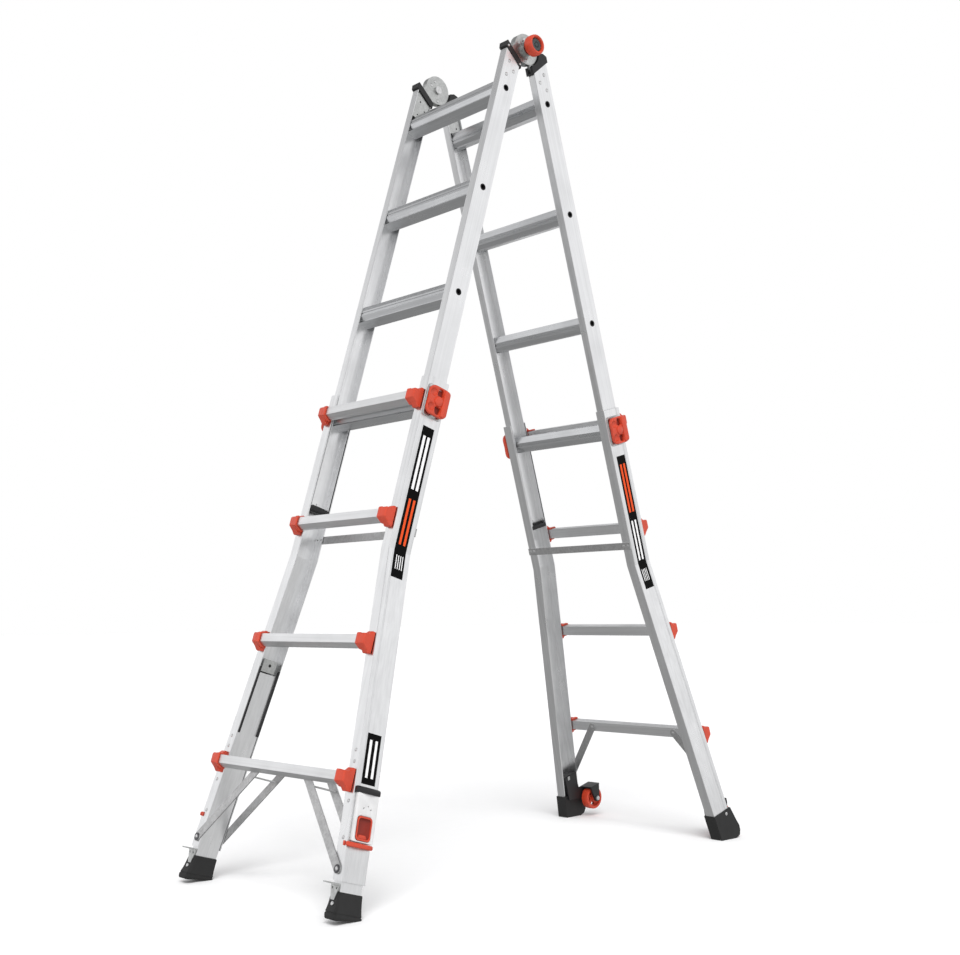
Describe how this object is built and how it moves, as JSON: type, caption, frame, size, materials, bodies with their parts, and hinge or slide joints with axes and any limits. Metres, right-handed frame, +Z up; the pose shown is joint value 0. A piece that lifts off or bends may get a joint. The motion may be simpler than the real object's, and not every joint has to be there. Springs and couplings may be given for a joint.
{
  "type": "multi position ladder",
  "caption": "Articulating telescopic ladder standing as an A-frame, with flared outer rails, rocking rung locks, a central fold hinge, leg levelers and tip wheels.",
  "frame": {"origin": "on the floor at the centre of the footprint, 9.75 mm on the -Y side of the hinge axis", "axes": "+X along the rungs, -Y toward the climbing side of the front leg, +Z up"},
  "size_m": [0.6344, 1.4534, 2.199],
  "materials": {
    "rail_aluminium": "satin extruded",
    "rung_aluminium": "satin extruded",
    "plate_steel": "zinc plated",
    "rivet_steel": "zinc plated",
    "red_plastic": "moulded, lightly textured",
    "black_plastic": "moulded",
    "foot_rubber": "matt"
  },
  "bodies": {
    "front_inner": {"front_inner_rail_left": "rail_aluminium", "front_inner_rail_right": "rail_aluminium", "front_inner_rungs": "rung_aluminium", "front_slide_guides": "black_plastic", "front_hinge_plates": "plate_steel", "front_hinge_trims": "black_plastic", "hinge_axles": "rivet_steel", "front_inner_rivets": "rivet_steel"},
    "rear_inner": {"rear_inner_rail_left": "rail_aluminium", "rear_inner_rail_right": "rail_aluminium", "rear_inner_rungs": "rung_aluminium", "rear_slide_guides": "black_plastic", "rear_hinge_plates": "plate_steel", "rear_hinge_trims": "black_plastic", "rear_inner_rivets": "rivet_steel"},
    "front_outer": {"front_outer_rail_left": "rail_aluminium", "front_outer_rail_right": "rail_aluminium", "front_outer_rungs": "rung_aluminium", "front_rung_brackets": "red_plastic", "front_cross_strap": "plate_steel", "front_braces": "plate_steel", "front_lock_housings": "plate_steel", "front_outer_rivets": "rivet_steel", "leveler_housings": "rail_aluminium", "leveler_caps": "black_plastic", "leveler_liners": "black_plastic", "leveler_pawls": "plate_steel", "leveler_guard_bars": "red_plastic"},
    "rear_outer": {"rear_outer_rail_left": "rail_aluminium", "rear_outer_rail_right": "rail_aluminium", "rear_outer_rungs": "rung_aluminium", "rear_rung_brackets": "red_plastic", "rear_cross_strap": "plate_steel", "rear_braces": "plate_steel", "rear_lock_housings": "plate_steel", "rear_outer_rivets": "rivet_steel", "rear_feet": "foot_rubber", "wheel_brackets": "black_plastic", "wheel_axles": "rivet_steel"},
    "leveler_left": {"leveler_leg_left": "rail_aluminium", "leveler_foot_left": "foot_rubber", "foot_pedal_left": "plate_steel"},
    "leveler_button_left": {"leveler_button_left": "red_plastic"},
    "hinge_knob_left": {"hinge_knob_left": "red_plastic"},
    "wheel_left": {"wheel_left": "red_plastic"},
    "leveler_right": {"leveler_leg_right": "rail_aluminium", "leveler_foot_right": "foot_rubber", "foot_pedal_right": "plate_steel"},
    "leveler_button_right": {"leveler_button_right": "red_plastic"},
    "hinge_knob_right": {"hinge_knob_right": "red_plastic"},
    "wheel_right": {"wheel_right": "red_plastic"},
    "front_lock_lever_left": {"front_lock_lever_left": "red_plastic"},
    "front_lock_pin_left": {"front_lock_pin_left": "rivet_steel"},
    "front_lock_lever_right": {"front_lock_lever_right": "red_plastic"},
    "front_lock_pin_right": {"front_lock_pin_right": "rivet_steel"},
    "rear_lock_lever_left": {"rear_lock_lever_left": "red_plastic"},
    "rear_lock_pin_left": {"rear_lock_pin_left": "rivet_steel"},
    "rear_lock_lever_right": {"rear_lock_lever_right": "red_plastic"},
    "rear_lock_pin_right": {"rear_lock_pin_right": "rivet_steel"}
  },
  "joints": [
    {"name": "main_fold", "type": "hinge", "parent": "front_inner", "child": "rear_inner", "pos_m": [0, 0.00975, 2.157], "axis": [1, 0, 0], "range_deg": [-32.5, 147.5]},
    {"name": "front_slide", "type": "slide", "parent": "front_inner", "child": "front_outer", "axis": [0, 0.2924, 0.9563], "range_m": [0, 0.9144]},
    {"name": "rear_slide", "type": "slide", "parent": "rear_inner", "child": "rear_outer", "axis": [0, -0.2672, 0.9636], "range_m": [0, 0.9144]},
    {"name": "leveler_slide_left", "type": "slide", "parent": "front_outer", "child": "leveler_left", "axis": [-0.1367, -0.2896, -0.9473], "range_m": [0, 0.2]},
    {"name": "leveler_button_press_left", "type": "slide", "parent": "front_outer", "child": "leveler_button_left", "axis": [1, 0, 0], "range_m": [0, 0.0035]},
    {"name": "hinge_knob_press_left", "type": "slide", "parent": "front_inner", "child": "hinge_knob_left", "axis": [1, 0, 0], "range_m": [0, 0.006]},
    {"name": "wheel_spin_left", "type": "hinge", "parent": "rear_outer", "child": "wheel_left", "pos_m": [-0.245, 0.69275, 0.05715], "axis": [1, 0, 0], "continuous": true},
    {"name": "leveler_slide_right", "type": "slide", "parent": "front_outer", "child": "leveler_right", "axis": [0.1367, -0.2896, -0.9473], "range_m": [0, 0.2]},
    {"name": "leveler_button_press_right", "type": "slide", "parent": "front_outer", "child": "leveler_button_right", "axis": [-1, 0, 0], "range_m": [0, 0.0035]},
    {"name": "hinge_knob_press_right", "type": "slide", "parent": "front_inner", "child": "hinge_knob_right", "axis": [-1, 0, 0], "range_m": [0, 0.006]},
    {"name": "wheel_spin_right", "type": "hinge", "parent": "rear_outer", "child": "wheel_right", "pos_m": [0.245, 0.69275, 0.05715], "axis": [1, 0, 0], "continuous": true},
    {"name": "front_lock_rock_left", "type": "hinge", "parent": "front_outer", "child": "front_lock_lever_left", "pos_m": [-0.206, -0.33875, 1.15051], "axis": [0, 0.2924, 0.9563], "range_deg": [0, 9]},
    {"name": "front_lock_pin_slide_left", "type": "slide", "parent": "front_outer", "child": "front_lock_pin_left", "axis": [1, 0, 0], "range_m": [0, 0.0141]},
    {"name": "front_lock_rock_right", "type": "hinge", "parent": "front_outer", "child": "front_lock_lever_right", "pos_m": [0.206, -0.33875, 1.15051], "axis": [0, 0.2924, 0.9563], "range_deg": [0, 9]},
    {"name": "front_lock_pin_slide_right", "type": "slide", "parent": "front_outer", "child": "front_lock_pin_right", "axis": [-1, 0, 0], "range_m": [0, 0.0141]},
    {"name": "rear_lock_rock_left", "type": "hinge", "parent": "rear_outer", "child": "rear_lock_lever_left", "pos_m": [-0.206, 0.33178, 1.14173], "axis": [0, -0.2672, 0.9636], "range_deg": [0, 9]},
    {"name": "rear_lock_pin_slide_left", "type": "slide", "parent": "rear_outer", "child": "rear_lock_pin_left", "axis": [1, 0, 0], "range_m": [0, 0.0141]},
    {"name": "rear_lock_rock_right", "type": "hinge", "parent": "rear_outer", "child": "rear_lock_lever_right", "pos_m": [0.206, 0.33178, 1.14173], "axis": [0, -0.2672, 0.9636], "range_deg": [0, 9]},
    {"name": "rear_lock_pin_slide_right", "type": "slide", "parent": "rear_outer", "child": "rear_lock_pin_right", "axis": [-1, 0, 0], "range_m": [0, 0.0141]}
  ],
  "couplings": [
    {"joint": "front_lock_pin_slide_left", "follows": "front_lock_rock_left", "m_per_rad": 0.089127},
    {"joint": "front_lock_pin_slide_right", "follows": "front_lock_rock_right", "m_per_rad": 0.089127},
    {"joint": "rear_lock_pin_slide_left", "follows": "rear_lock_rock_left", "m_per_rad": 0.089127},
    {"joint": "rear_lock_pin_slide_right", "follows": "rear_lock_rock_right", "m_per_rad": 0.089127}
  ]
}
